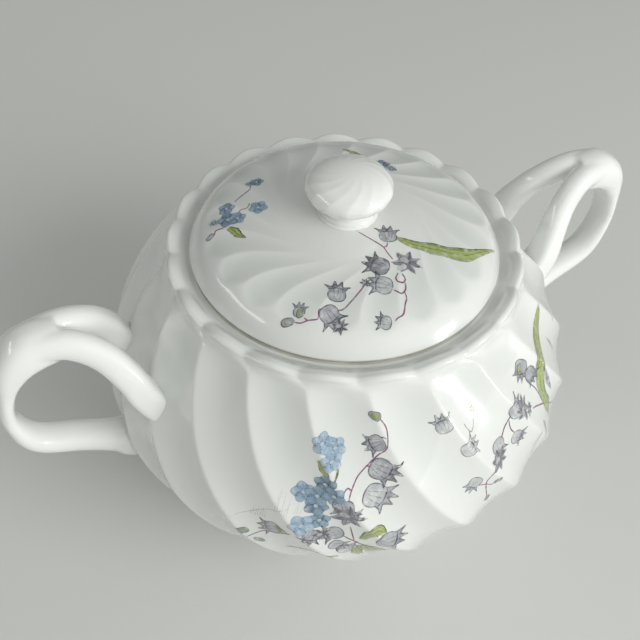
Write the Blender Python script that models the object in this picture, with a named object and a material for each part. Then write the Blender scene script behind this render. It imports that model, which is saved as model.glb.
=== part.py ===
"""Covered sugar bowl in glazed porcelain.

A low round bowl with swirling flutes stands on a plain foot ring, and two
wishbone handles are luted to its wall, opposite each other along X. A domed
lid with as many flutes as the bowl drops onto a ledge inside the mouth, and
carries a button knob. Sizes are in metres. The origin is the centre of the
foot, on the table, and +Z is up.
"""
import math

import bmesh
import bpy
from mathutils import Vector

MM = 0.001

# How finely the curves are drawn
FACETS_PER_FLUTE = 3
WALL_RINGS = 14
INSIDE_RINGS = 7
LID_RINGS = 7
KNOB_SEGMENTS = 28
SECTION_SIDES = 10
STRAND_STEPS = 3
SHARP_ANGLE = math.radians(32.0)

# Flutes
FLUTE_COUNT = 21
FLUTE_DEPTH = 1.7 * MM          # bowl: how far a flute sinks behind its ridges
FLUTE_START = 7.0 * MM          # below the rim, where a flute reaches its depth
FLUTE_END = 12.0 * MM           # above the foot, where it starts to fade
FIRST_RIDGE = math.radians(6.1)
RIM_TURN = math.radians(2.3)    # turn of a ridge within the rounded rim
SWIRL = math.radians(54.0)      # its further turn from the rim down to the foot
SWIRL_POWER = 1.2

# Bowl
RIM_HEIGHT = 83.4 * MM          # table to the notches between the rim's lobes
BELLY_HEIGHT = 44.0 * MM
BELLY_RADIUS = 61.8 * MM
SHOULDER_FULLNESS = 1.9
UNDERSIDE_FULLNESS = 1.7
FOOT_RADIUS = 35.5 * MM
FOOT_HEIGHT = 4.0 * MM
FOOT_WIDTH = 4.5 * MM
FOOT_RECESS = 2.6 * MM
WALL = 3.0 * MM
FLOOR = 4.0 * MM
LIP_WALL = 2.1 * MM             # wall of the mouth at a notch
LOBE_BULGE = 1.2 * MM           # a rim lobe stands out this far between notches
LOBE_RISE = 1.3 * MM
BEAD_DEPTH = 2.6 * MM           # height of the rounded rim above the fluted wall

# Lid and its seat
LID_RADIUS = 38.0 * MM
LID_EDGE = 1.6 * MM             # thickness at the edge
LID_STAND = 0.6 * MM            # top of the lid's edge above the notches
UNDERCUT = 0.8                  # the edge slopes in below, by this share of its thickness
LID_SHELL = 2.8 * MM
DOME_RISE = 10.2 * MM
DOME_SHARE = 0.48               # of the rise, falls steadily from the middle
SHOULDER_POWER = 13.0           # the rest rolls off near the edge
LID_FLUTE_DEPTH = 0.5 * MM
LID_FLUTE_INNER = 17.0 * MM
LID_FLUTE_OUTER = 35.4 * MM
LID_FLUTE_END = 0.12            # share of a lid flute in which it runs out
LID_RIDGE = math.radians(7.45)  # the first ridge, at the edge
LID_SWIRL = math.radians(30.0)  # turn of a lid ridge on its way in
FLANGE_WALL = 2.6 * MM
FLANGE_DEPTH = 5.0 * MM
LEDGE_WIDTH = 4.6 * MM          # the ledge's bearing under the lid's edge
LEDGE_THICKNESS = 3.0 * MM
SIDE_CLEARANCE = 0.6 * MM       # between the lid's edge and the foot of the mouth
MOUTH_FLARE = 2.2 * MM          # the mouth widens by this from the ledge to the rim
FLANGE_CLEARANCE = 0.8 * MM
SEAT_GAP = 0.3 * MM             # between touching pieces
TRIM_GAP = 0.42 * MM            # between a handle and the ridges, before the flutes' facets

# Knob
KNOB_BASE_RADIUS = 6.8 * MM
KNOB_NECK_RADIUS = 5.6 * MM
KNOB_RADIUS = 10.4 * MM
KNOB_RING = 1.8 * MM
KNOB_WIDEST = 7.4 * MM          # height of the widest point above the knob's base
KNOB_HEIGHT = 12.1 * MM

# Handles
TINE_DROP = 19.5 * MM           # centre of a tine's foot below the rim
TINE_SPREAD = math.radians(12.3)  # a tine's foot to the handle's middle plane
TINE_WIDTH = 6.6 * MM
TINE_THICKNESS = 7.0 * MM
ARCH_RISE = 20.0 * MM           # the arch's top above the tines' feet
KNUCKLE_REACH = 16.0 * MM       # knuckle beyond the belly
KNUCKLE_WIDTH = 10.4 * MM
KNUCKLE_THICKNESS = 9.4 * MM
LOOP_REACH = 25.0 * MM          # centre of the strand at its outermost, beyond the belly
LOOP_DROP = 21.0 * MM           # the outermost point below the rim
TAIL_DROP = 42.8 * MM           # centre of the lower foot below the rim
TAIL_SLOPE = 0.45               # rise of the lower strand on its way out
STRAND_WIDTH = 8.4 * MM
STRAND_THICKNESS = 7.2 * MM
LOOP_THICKNESS = 4.4 * MM       # at the outermost, where the finger rests
ROOT = 4.0 * MM                 # how far a strand runs on inside the wall before it is cut

# Glaze
GLAZE_COLOUR = (0.86, 0.87, 0.85)
GLAZE_ROUGHNESS = 0.12

# Worked out from the sizes above
STEPS = FLUTE_COUNT * FACETS_PER_FLUTE
LID_TOP = RIM_HEIGHT + LID_STAND
LEDGE_HEIGHT = LID_TOP - LID_EDGE - SEAT_GAP
LEDGE_OUTER = LID_RADIUS + SIDE_CLEARANCE
LEDGE_INNER = LID_RADIUS - LEDGE_WIDTH
MOUTH_RADIUS = LEDGE_OUTER + MOUTH_FLARE
RIM_RADIUS = MOUTH_RADIUS + LIP_WALL
FLANGE_RADIUS = LEDGE_INNER - FLANGE_CLEARANCE
KNOB_SEAT = KNOB_BASE_RADIUS + SEAT_GAP


def clear_scene():
    for item in list(bpy.data.objects):
        bpy.data.objects.remove(item, do_unlink=True)


def porcelain(name):
    material = bpy.data.materials.new(name)
    material.use_nodes = True
    shader = material.node_tree.nodes["Principled BSDF"]
    shader.inputs["Base Color"].default_value = (*GLAZE_COLOUR, 1.0)
    shader.inputs["Roughness"].default_value = GLAZE_ROUGHNESS
    shader.inputs["Metallic"].default_value = 0.0
    return material


def add_object(name, mesh, material):
    item = bpy.data.objects.new(name, mesh)
    item.data.materials.append(material)
    bpy.context.collection.objects.link(item)
    return item


def skin(name, rings):
    """Join equal rings of points into one closed solid, with a fan at each end."""
    bm = bmesh.new()
    loops = [[bm.verts.new(point) for point in ring] for ring in rings]
    for low, high in zip(loops, loops[1:]):
        for j in range(len(low)):
            k = (j + 1) % len(low)
            bm.faces.new((low[j], low[k], high[k], high[j]))
    for loop in (loops[0], loops[-1]):
        middle = sum((vert.co for vert in loop), Vector()) / len(loop)
        centre = bm.verts.new(middle)
        for j in range(len(loop)):
            bm.faces.new((loop[j], loop[(j + 1) % len(loop)], centre))
    bmesh.ops.triangulate(bm, faces=bm.faces)
    bmesh.ops.recalc_face_normals(bm, faces=bm.faces)
    mesh = bpy.data.meshes.new(name)
    bm.to_mesh(mesh)
    bm.free()
    mesh.shade_smooth()
    mesh.set_sharp_from_angle(angle=SHARP_ANGLE)
    return mesh


def scoop(t):
    """A flute's section: 0 at the ridges, t = 0 and 1, and 1 halfway between."""
    return 4.0 * t * (1.0 - t)


def fluted_ring(radius, height, turn=0.0):
    """One ring of points; radius and height are functions of the place in the flute."""
    points = []
    for j in range(STEPS):
        t = (j % FACETS_PER_FLUTE) / FACETS_PER_FLUTE
        angle = FIRST_RIDGE + turn + 2.0 * math.pi * j / STEPS
        r = radius(t)
        points.append(Vector((r * math.cos(angle), r * math.sin(angle), height(t))))
    return points


def plain_ring(radius, height, turn=0.0):
    return fluted_ring(lambda t: radius, lambda t: height, turn)


# ---------------------------------------------------------------- bowl

def ridge_radius(z):
    """Radius of the ridges on the outside of the bowl at height z."""
    if z >= BELLY_HEIGHT:
        s = (z - BELLY_HEIGHT) / (RIM_HEIGHT - BELLY_HEIGHT)
        return RIM_RADIUS + (BELLY_RADIUS - RIM_RADIUS) * (1.0 - s ** SHOULDER_FULLNESS)
    s = (BELLY_HEIGHT - z) / (BELLY_HEIGHT - FOOT_HEIGHT)
    return FOOT_RADIUS + (BELLY_RADIUS - FOOT_RADIUS) * (1.0 - s ** UNDERSIDE_FULLNESS)


def flute_depth(z):
    """The flutes deepen below the rim and fade out towards the foot."""
    start = min(1.0, max(0.0, (RIM_HEIGHT - z) / FLUTE_START))
    end = min(1.0, max(0.0, (z - FOOT_HEIGHT) / FLUTE_END))
    return FLUTE_DEPTH * math.sin(0.5 * math.pi * start) * math.sin(0.5 * math.pi * end)


def swirl(z):
    """Turn of the ridges at height z, seen from above, from their place at the rim."""
    below = max(0.0, RIM_HEIGHT - z)
    share = below / (RIM_HEIGHT - FOOT_HEIGHT)
    return RIM_TURN * min(1.0, below / BEAD_DEPTH) + SWIRL * share ** SWIRL_POWER


def wall_ring(z, grow=0.0):
    def radius(t):
        return ridge_radius(z) + grow - flute_depth(z) * scoop(t)
    return fluted_ring(radius, lambda t: z, swirl(z))


def inner_radius(z):
    return ridge_radius(z) - FLUTE_DEPTH - WALL


def spaced(low, high, count):
    """Evenly spaced heights from low to high, both included."""
    return [low + (high - low) * i / (count - 1) for i in range(count)]


def rim_rings():
    """The rounded rim, from the fluted wall over the lobes into the mouth."""
    def bead(out, up, bulge, rise):
        return fluted_ring(
            lambda t: out + bulge * LOBE_BULGE * scoop(t),
            lambda t: RIM_HEIGHT + up + rise * LOBE_RISE * scoop(t))
    return [
        bead(RIM_RADIUS, -0.45 * BEAD_DEPTH, 0.7, 0.0),
        bead(RIM_RADIUS, 0.0, 1.0, 0.5),
        bead(RIM_RADIUS - 0.35 * LIP_WALL, 0.16 * BEAD_DEPTH, 0.65, 1.0),
        bead(MOUTH_RADIUS + 0.2 * LIP_WALL, 0.16 * BEAD_DEPTH, 0.1, 0.9),
        bead(MOUTH_RADIUS, -0.1 * BEAD_DEPTH, 0.0, 0.3),
    ]


def bowl_rings():
    bottom = swirl(FOOT_HEIGHT)
    foot_inner = FOOT_RADIUS - FOOT_WIDTH
    rings = [
        plain_ring(0.5 * foot_inner, FOOT_RECESS, bottom),
        plain_ring(foot_inner - 0.2 * FOOT_WIDTH, FOOT_RECESS, bottom),
        plain_ring(foot_inner, 0.0, bottom),
        plain_ring(FOOT_RADIUS, 0.0, bottom),
    ]
    rings += [wall_ring(z) for z in spaced(FOOT_HEIGHT, RIM_HEIGHT - BEAD_DEPTH, WALL_RINGS)]
    rings += rim_rings()
    rings += [
        plain_ring(LEDGE_OUTER, LEDGE_HEIGHT),
        plain_ring(LEDGE_INNER, LEDGE_HEIGHT),
        plain_ring(LEDGE_INNER, LEDGE_HEIGHT - LEDGE_THICKNESS),
    ]
    inside_top = LEDGE_HEIGHT - 2.0 * LEDGE_THICKNESS
    inside = spaced(FOOT_HEIGHT + FLOOR, inside_top, INSIDE_RINGS)
    rings += [plain_ring(inner_radius(z), z) for z in reversed(inside)]
    rings.append(plain_ring(0.5 * inner_radius(inside[0]), inside[0]))
    return rings


def wall_cutter():
    """A solid with the bowl's outer shape, one gap larger, that trims the handles."""
    heights = spaced(FOOT_HEIGHT, RIM_HEIGHT - BEAD_DEPTH, WALL_RINGS)
    mesh = skin("wall_cutter", [wall_ring(z, TRIM_GAP) for z in heights])
    return make_guide("wall_cutter", mesh, 0.0)


# ---------------------------------------------------------------- lid and knob

def lid_height(r):
    """Top of the lid at radius r, along a ridge; level under the knob."""
    reach = max(r, KNOB_SEAT) / LID_RADIUS
    fall = DOME_SHARE * reach ** 2 + (1.0 - DOME_SHARE) * reach ** SHOULDER_POWER
    return LID_TOP + DOME_RISE * (1.0 - fall)


def lid_turn(r):
    """Turn of the lid's ridges at radius r; they run straight out at the edge."""
    inward = (LID_FLUTE_OUTER - r) / (LID_FLUTE_OUTER - LID_FLUTE_INNER)
    return LID_RIDGE - FIRST_RIDGE + LID_SWIRL * min(1.0, max(0.0, inward)) ** 3


def lid_ring(r):
    """A ring of the lid's upper face, sunk between the ridges of its flutes."""
    place = (r - LID_FLUTE_INNER) / (LID_FLUTE_OUTER - LID_FLUTE_INNER)
    place = min(1.0, max(0.0, place))
    depth = LID_FLUTE_DEPTH * place * min(1.0, (1.0 - place) / LID_FLUTE_END)
    return fluted_ring(lambda t: r, lambda t: lid_height(r) - depth * scoop(t), lid_turn(r))


def lid_rings():
    bottom = LID_TOP - LID_EDGE
    turn = lid_turn(LID_RADIUS)
    edge_low = LID_RADIUS - UNDERCUT * LID_EDGE
    shoulder = LID_RADIUS - LID_FLUTE_OUTER
    radii = [KNOB_SEAT, *spaced(LID_FLUTE_INNER, LID_FLUTE_OUTER, LID_RINGS)]
    rings = [lid_ring(r) for r in radii]
    rings += [
        plain_ring(LID_RADIUS - 0.5 * shoulder, lid_height(LID_RADIUS - 0.5 * shoulder), turn),
        plain_ring(LID_RADIUS - 0.15 * shoulder, lid_height(LID_RADIUS - 0.15 * shoulder), turn),
        plain_ring(LID_RADIUS, LID_TOP, turn),
        plain_ring(LID_RADIUS - 0.05 * LID_EDGE, LID_TOP - 0.25 * LID_EDGE, turn),
        plain_ring(edge_low, bottom, turn),
        plain_ring(FLANGE_RADIUS, bottom, turn),
        plain_ring(FLANGE_RADIUS, bottom - FLANGE_DEPTH, turn),
        plain_ring(FLANGE_RADIUS - FLANGE_WALL, bottom - FLANGE_DEPTH, turn),
    ]
    for r in (FLANGE_RADIUS - FLANGE_WALL, 0.6 * FLANGE_RADIUS, KNOB_SEAT):
        rings.append(plain_ring(r, lid_height(r) - LID_SHELL, turn))
    return rings


def knob_rings():
    """A low cap on a waisted neck, with a small ring round its base."""
    base = lid_height(0.0) + SEAT_GAP
    profile = [
        (KNOB_BASE_RADIUS, 0.0),
        (KNOB_BASE_RADIUS, 0.6 * KNOB_RING),
        (KNOB_NECK_RADIUS, KNOB_RING),
    ]
    undercut = KNOB_WIDEST - KNOB_RING
    crown = KNOB_HEIGHT - KNOB_WIDEST
    for angle in (-50.0, -25.0, 0.0, 25.0, 45.0, 65.0, 80.0):
        a = math.radians(angle)
        depth = crown if angle > 0.0 else undercut
        profile.append((KNOB_RADIUS * math.cos(a), KNOB_WIDEST + depth * math.sin(a)))
    rings = []
    for r, z in profile:
        ring = []
        for j in range(KNOB_SEGMENTS):
            a = 2.0 * math.pi * j / KNOB_SEGMENTS
            ring.append(Vector((r * math.cos(a), r * math.sin(a), base + z)))
        rings.append(ring)
    return rings


# ---------------------------------------------------------------- handles

def smooth_path(points, per_span):
    """Points of a Catmull-Rom curve through the given points."""
    ends = [2 * points[0] - points[1], *points, 2 * points[-1] - points[-2]]
    path = []
    for i in range(len(points) - 1):
        a, b, c, d = ends[i:i + 4]
        for step in range(per_span):
            t = step / per_span
            path.append(0.5 * (2 * b + (c - a) * t + (2 * a - 5 * b + 4 * c - d) * t ** 2
                               + (3 * b - a - 3 * c + d) * t ** 3))
    path.append(points[-1])
    return path


def strand(name, stations, per_span):
    """A closed oval strand; a station is its centre, its width and its thickness."""
    centres = smooth_path([Vector(s[0]) for s in stations], per_span)
    sizes = smooth_path([Vector((s[1], s[2], 0.0)) for s in stations], per_span)
    rings = []
    across = Vector((0.0, 1.0, 0.0))
    for i, centre in enumerate(centres):
        ahead = centres[min(i + 1, len(centres) - 1)] - centres[max(i - 1, 0)]
        ahead.normalize()
        side = (across - ahead * across.dot(ahead)).normalized()
        up = ahead.cross(side)
        ring = []
        for k in range(SECTION_SIDES):
            a = 2.0 * math.pi * k / SECTION_SIDES
            ring.append(centre + side * (0.5 * sizes[i].x * math.cos(a))
                        + up * (0.5 * sizes[i].y * math.sin(a)))
        rings.append(ring)
    return skin(name, rings)


def tine_stations(side):
    """One tine, from inside the wall up over the arch to the knuckle."""
    foot_z = RIM_HEIGHT - TINE_DROP
    foot_r = ridge_radius(foot_z)
    foot_x = foot_r * math.cos(TINE_SPREAD)
    foot_y = side * foot_r * math.sin(TINE_SPREAD)
    span = BELLY_RADIUS + KNUCKLE_REACH - foot_x
    shape = [                   # along the span, share of the spread, share of the rise
        (0.03, 1.00, 0.0),
        (0.09, 0.84, 0.42),
        (0.34, 0.50, 0.78),
        (0.66, 0.26, 0.95),
        (1.00, 0.14, 1.0),
    ]
    stations = [((foot_x - ROOT, foot_y, foot_z - ROOT), TINE_WIDTH, TINE_THICKNESS)]
    for along, apart, up in shape:
        centre = (foot_x + along * span, apart * foot_y, foot_z + up * ARCH_RISE)
        stations.append((centre, TINE_WIDTH, TINE_THICKNESS))
    return stations


def loop_stations():
    """The single strand, from the knuckle round the finger loop and back to the wall."""
    arch_z = RIM_HEIGHT - TINE_DROP + ARCH_RISE
    knuckle = BELLY_RADIUS + KNUCKLE_REACH
    outermost = BELLY_RADIUS + LOOP_REACH
    turn = outermost - knuckle
    loop_z = RIM_HEIGHT - LOOP_DROP
    tail_z = RIM_HEIGHT - TAIL_DROP
    tail_r = ridge_radius(tail_z)
    corner = outermost - 0.45 * turn
    middle = 0.5 * (tail_r + corner)
    crown = arch_z + 0.5 * (TINE_THICKNESS - KNUCKLE_THICKNESS)
    return [
        ((knuckle - 0.6 * turn, 0.0, crown), KNUCKLE_WIDTH, KNUCKLE_THICKNESS),
        ((knuckle + 0.1 * turn, 0.0, crown), KNUCKLE_WIDTH, KNUCKLE_THICKNESS),
        ((outermost - 0.22 * turn, 0.0, 0.66 * arch_z + 0.34 * loop_z),
         0.5 * (KNUCKLE_WIDTH + STRAND_WIDTH), 1.3 * LOOP_THICKNESS),
        ((outermost, 0.0, loop_z), STRAND_WIDTH, LOOP_THICKNESS),
        ((corner, 0.0, tail_z + 1.1 * TAIL_SLOPE * (corner - tail_r)),
         STRAND_WIDTH, STRAND_THICKNESS),
        ((middle, 0.0, tail_z + TAIL_SLOPE * (middle - tail_r)), STRAND_WIDTH, STRAND_THICKNESS),
        ((tail_r + 0.25 * ROOT, 0.0, tail_z), STRAND_WIDTH, STRAND_THICKNESS),
        ((tail_r - ROOT, 0.0, tail_z - 0.5 * ROOT), STRAND_WIDTH, STRAND_THICKNESS),
    ]


def cut_with(item, other, operation):
    change = item.modifiers.new(operation.lower(), "BOOLEAN")
    change.object = other
    change.operation = operation
    change.solver = "EXACT"


def make_guide(name, mesh, turn):
    guide = bpy.data.objects.new(name, mesh)
    guide.rotation_euler.z = turn
    bpy.context.collection.objects.link(guide)
    guide.hide_render = True
    guide.display_type = "WIRE"
    return guide


def add_handle(name, turn, cutter, material):
    """A wishbone: two tines joined to one loop, trimmed to the fluted wall."""
    loop = strand("handle_loop", loop_stations(), STRAND_STEPS)
    handle = add_object(name, loop, material)
    handle.rotation_euler.z = turn
    for side in (1.0, -1.0):
        tine = strand("handle_tine", tine_stations(side), STRAND_STEPS)
        guide = make_guide(f"{name}_tine_{'left' if side > 0.0 else 'right'}", tine, turn)
        cut_with(handle, guide, "UNION")
    cut_with(handle, cutter, "DIFFERENCE")
    return handle


def main():
    clear_scene()
    add_object("bowl_body", skin("bowl_body", bowl_rings()), porcelain("bowl_glaze"))
    cutter = wall_cutter()
    add_handle("handle_right", 0.0, cutter, porcelain("handle_right_glaze"))
    add_handle("handle_left", math.pi, cutter, porcelain("handle_left_glaze"))

    axis = bpy.data.objects.new("lid_axis", None)
    bpy.context.collection.objects.link(axis)
    lid = add_object("lid", skin("lid", lid_rings()), porcelain("lid_glaze"))
    knob = add_object("lid_knob", skin("lid_knob", knob_rings()), porcelain("knob_glaze"))
    lid.parent = axis
    knob.parent = axis


main()
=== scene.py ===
"""Looks of the covered sugar bowl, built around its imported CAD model.

The fluted bowl, the two wishbone handles, the lid and the knob are finely
meshed here in glazed porcelain, and carry sprays of painted flowers. Lengths
are in metres; the bowl stands on z = 0 and its handles point along X.
"""
import math

import bmesh
import bpy
import numpy as np
from mathutils import Matrix, Vector


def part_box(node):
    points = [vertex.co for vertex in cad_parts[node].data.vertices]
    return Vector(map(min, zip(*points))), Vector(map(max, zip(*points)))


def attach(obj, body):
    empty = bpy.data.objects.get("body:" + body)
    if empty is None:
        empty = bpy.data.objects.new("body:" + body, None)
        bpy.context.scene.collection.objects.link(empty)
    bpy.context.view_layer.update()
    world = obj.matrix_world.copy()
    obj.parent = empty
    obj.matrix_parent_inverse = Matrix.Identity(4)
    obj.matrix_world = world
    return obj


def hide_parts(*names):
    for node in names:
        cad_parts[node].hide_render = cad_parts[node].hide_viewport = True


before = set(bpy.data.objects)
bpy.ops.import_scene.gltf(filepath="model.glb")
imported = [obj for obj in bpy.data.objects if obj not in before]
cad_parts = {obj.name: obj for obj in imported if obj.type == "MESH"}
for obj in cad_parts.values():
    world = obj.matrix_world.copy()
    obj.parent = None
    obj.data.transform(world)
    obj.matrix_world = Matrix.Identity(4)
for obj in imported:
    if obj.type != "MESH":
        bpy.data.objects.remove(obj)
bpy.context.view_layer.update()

MM = 0.001

# ---------------------------------------------------------------- sizes

LID_LOW, LID_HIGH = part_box("lid")
KNOB_LOW, KNOB_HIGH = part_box("lid_knob")

FLUTES = 21
FLUTE_DEPTH = 1.7 * MM
FLUTE_START = 7.0 * MM          # below the rim, where a flute reaches its depth
FLUTE_END = 12.0 * MM           # above the foot, where it starts to fade
FIRST_RIDGE = math.radians(6.1)
RIM_TURN = math.radians(2.3)    # turn of a ridge within the rounded rim
SWIRL = math.radians(54.0)
SWIRL_POWER = 1.2
CREST = 0.022                   # rounding of a ridge, as a share of the flute's width
RIM_CREST = 0.05                # the same, for the rim's lobes and the painted shade in the flutes
PAINTED_SHADE_SHARE = 0.38               # of the lid's painted shade, in the bowl's flute hollows
COLUMNS_PER_FLUTE = 12
COLUMNS = FLUTES * COLUMNS_PER_FLUTE

RIM_HEIGHT = 83.4 * MM          # table to the notches between the rim's lobes
BELLY_HEIGHT = 44.0 * MM
BELLY_RADIUS = 61.8 * MM
SHOULDER_FULLNESS = 1.9
UNDERSIDE_FULLNESS = 1.7
FOOT_RADIUS = 35.5 * MM
FOOT_HEIGHT = 4.0 * MM
FOOT_WIDTH = 4.5 * MM
FOOT_RECESS = 2.6 * MM
WALL = 3.0 * MM
FLOOR = 4.0 * MM
LOBE_BULGE = 1.2 * MM
LOBE_RISE = 1.3 * MM
BEAD_DEPTH = 2.6 * MM
LIP_WALL = 2.1 * MM

LID_RADIUS = 0.5 * (LID_HIGH.x - LID_LOW.x)
LID_EDGE = 1.6 * MM
LID_TOP = RIM_HEIGHT + 0.6 * MM
DOME_RISE = 10.2 * MM
LID_SHELL = 2.8 * MM
DOME_SHARE = 0.48               # of the rise, falls with the square of the radius
SHOULDER_POWER = 13.0           # the rest rolls off near the edge
LID_FLUTE_DEPTH = 0.5 * MM
LID_FLUTE_INNER = 17.0 * MM
LID_FLUTE_OUTER = 35.4 * MM
LID_FLUTE_POWER = 0.8           # how its depth grows from the inner radius to the outer
LID_CREST = 0.03                # rounding of a lid ridge, as a share of the flute's width
PETAL_DIP = 2.4 * MM            # how much sooner a lid flute ends beside its ridges
PETAL_FADE = 3.0 * MM           # over which it ends
LID_FIRST_RIDGE = math.radians(7.45)
LID_SWIRL = math.radians(30.0)  # turn of a lid ridge on its way in
FLANGE_DEPTH = LID_TOP - LID_EDGE - LID_LOW.z
FLANGE_WALL = 2.6 * MM

SEAT_GAP = 0.3 * MM
LEDGE_HEIGHT = LID_TOP - LID_EDGE - SEAT_GAP
LEDGE_OUTER = LID_RADIUS + 0.6 * MM
LEDGE_INNER = LID_RADIUS - 4.6 * MM
LEDGE_THICKNESS = 3.0 * MM
MOUTH_RADIUS = LEDGE_OUTER + 2.2 * MM
RIM_RADIUS = MOUTH_RADIUS + LIP_WALL
FLANGE_RADIUS = LEDGE_INNER - 0.8 * MM

KNOB_BASE = KNOB_LOW.z - SEAT_GAP
KNOB_TOP = KNOB_HIGH.z
KNOB_RADIUS = 0.5 * (KNOB_HIGH.x - KNOB_LOW.x)
KNOB_BASE_RADIUS = 6.8 * MM
KNOB_WIDEST = 7.4 * MM
KNOB_FLUTES = 14
KNOB_COLUMNS_PER_FLUTE = 10
KNOB_ROWS = 46
KNOB_FLUTE_DEPTH = 0.17 * MM
KNOB_CREST = 0.08
KNOB_SWIRL = math.radians(-70.0)


# ---------------------------------------------------------------- mesh helpers

def ring_mesh(name, rings, closed=True):
    """A mesh from equal rings of points; closed adds a centre point at each end."""
    count = len(rings[0])
    points = np.concatenate(rings)
    faces = []
    for i in range(len(rings) - 1):
        low, high = i * count, (i + 1) * count
        for j in range(count):
            k = (j + 1) % count
            faces.append((low + j, low + k, high + k, high + j))
    if closed:
        first, last = len(points), len(points) + 1
        start = (len(rings) - 1) * count
        points = np.concatenate([points, [rings[0].mean(0)], [rings[-1].mean(0)]])
        for j in range(count):
            k = (j + 1) % count
            faces.append((k, j, first))
            faces.append((start + j, start + k, last))
    mesh = bpy.data.meshes.new(name)
    mesh.from_pydata(points.tolist(), [], faces)
    mesh.shade_smooth()
    return mesh


def tag_painted_shade(mesh, painted_shade):
    """Mark how much painted shade each point of a ring mesh gets, 0 to 1, by how deep in a hollow it lies.
    """
    rows = np.zeros(len(mesh.vertices), np.float32)
    depth = np.concatenate(painted_shade)
    rows[:len(depth)] = depth
    layer = mesh.attributes.new("painted_shade", "FLOAT", "POINT")
    layer.data.foreach_set("value", rows)
    return mesh


def add_piece(name, mesh, body, slot, material, nodes=()):
    piece = bpy.data.objects.new(name, mesh)
    bpy.context.scene.collection.objects.link(piece)
    piece.data.materials.append(material)
    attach(piece, body)
    if nodes:
        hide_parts(*nodes)
    return piece


def column_places(per_flute):
    """Places across one flute, 0 to 1, closer together at its ridges."""
    even = np.arange(per_flute) / per_flute
    return even - 0.7 * np.sin(2 * math.pi * even) / (2 * math.pi)


PLACES = np.tile(column_places(COLUMNS_PER_FLUTE), FLUTES)
TURNS = 2 * math.pi * (np.repeat(np.arange(FLUTES), COLUMNS_PER_FLUTE) + PLACES) / FLUTES


def scoop(place, crest=CREST):
    """A flute's section: 0 on the ridges, at places 0 and 1, and about 1 halfway."""
    near = np.minimum(place, 1.0 - place)
    soft = np.sqrt(near ** 2 + crest ** 2) - crest
    return 4.0 * soft * (1.0 - soft)


def ring(radius, height, turn):
    """One ring of points; radius and height are numbers or arrays, one entry a column."""
    angle = FIRST_RIDGE + turn + TURNS
    radius = np.broadcast_to(radius, angle.shape)
    height = np.broadcast_to(height, angle.shape)
    return np.stack([radius * np.cos(angle), radius * np.sin(angle), height], axis=1)


def catmull(points, per_span):
    """Rows of a Catmull-Rom curve through the given rows."""
    points = [np.asarray(p, float) for p in points]
    ends = [2 * points[0] - points[1], *points, 2 * points[-1] - points[-2]]
    rows = []
    for i in range(len(points) - 1):
        a, b, c, d = ends[i:i + 4]
        for step in range(per_span):
            t = step / per_span
            rows.append(0.5 * (2 * b + (c - a) * t + (2 * a - 5 * b + 4 * c - d) * t ** 2
                               + (3 * b - a - 3 * c + d) * t ** 3))
    rows.append(points[-1])
    return rows


# ---------------------------------------------------------------- shader helpers

def new_shader(name):
    """A material, with its node tree and its surface shader."""
    material = bpy.data.materials.new(name)
    material.use_nodes = True
    return material, material.node_tree, material.node_tree.nodes["Principled BSDF"]


def set_inputs(tree, node, values):
    """Give inputs their numbers or colours, or link them where the value is an output."""
    for label, value in values.items():
        if isinstance(value, bpy.types.NodeSocket):
            tree.links.new(value, node.inputs[label])
        else:
            node.inputs[label].default_value = value


def add_node(tree, kind, output, values, **settings):
    """Add a node and return its named output."""
    node = tree.nodes.new(kind)
    for label, value in settings.items():
        setattr(node, label, value)
    set_inputs(tree, node, values)
    return node.outputs[output]


def attribute(tree, name):
    return add_node(tree, "ShaderNodeAttribute", "Fac", {}, attribute_name=name)


def noise(tree, scale, detail):
    """Noise that is fixed to the piece."""
    values = {"Vector": add_node(tree, "ShaderNodeTexCoord", "Object", {}), "Scale": scale, "Detail": detail}
    return add_node(tree, "ShaderNodeTexNoise", "Fac", values)


def maths(tree, operation, *values, clamp=False):
    return add_node(tree, "ShaderNodeMath", "Value", dict(enumerate(values)), operation=operation,
                    use_clamp=clamp)


def map_range(tree, value, source, target):
    """A value carried from the span source to the span target."""
    values = {"Value": value, "From Min": source[0], "From Max": source[1],
              "To Min": target[0], "To Max": target[1]}
    return add_node(tree, "ShaderNodeMapRange", "Result", values)


def mix(tree, share, first, second, blend="MIX"):
    """Two colours blended; share is how much the second counts."""
    return add_node(tree, "ShaderNodeMix", "Result", {"Factor": share, "A": first, "B": second},
                    data_type="RGBA", blend_type=blend)


def bump(tree, height, strength, distance):
    values = {"Height": height, "Strength": strength, "Distance": distance}
    return add_node(tree, "ShaderNodeBump", "Normal", values)


def colour_ramp(tree, value, shades):
    """A value turned into a colour; shades are rows of a position and its colour."""
    node = tree.nodes.new("ShaderNodeValToRGB")
    elements = node.color_ramp.elements
    while len(elements) < len(shades):
        elements.new(0.5)
    for element, (position, colour) in zip(elements, shades):
        element.position = position
        element.color = (*colour, 1.0)
    set_inputs(tree, node, {"Fac": value})
    return node.outputs["Color"]


# ---------------------------------------------------------------- bowl

def ridge_radius(z):
    upper = np.clip((z - BELLY_HEIGHT) / (RIM_HEIGHT - BELLY_HEIGHT), 0.0, 1.0)
    lower = np.clip((BELLY_HEIGHT - z) / (BELLY_HEIGHT - FOOT_HEIGHT), 0.0, 1.0)
    shoulder = RIM_RADIUS + (BELLY_RADIUS - RIM_RADIUS) * (1.0 - upper ** SHOULDER_FULLNESS)
    underside = FOOT_RADIUS + (BELLY_RADIUS - FOOT_RADIUS) * (1.0 - lower ** UNDERSIDE_FULLNESS)
    return np.where(z >= BELLY_HEIGHT, shoulder, underside)


def flute_depth(z):
    start = np.clip((RIM_HEIGHT - z) / FLUTE_START, 0.0, 1.0)
    end = np.clip((z - FOOT_HEIGHT) / FLUTE_END, 0.0, 1.0)
    return FLUTE_DEPTH * np.sin(0.5 * math.pi * start) * np.sin(0.5 * math.pi * end)


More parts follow.
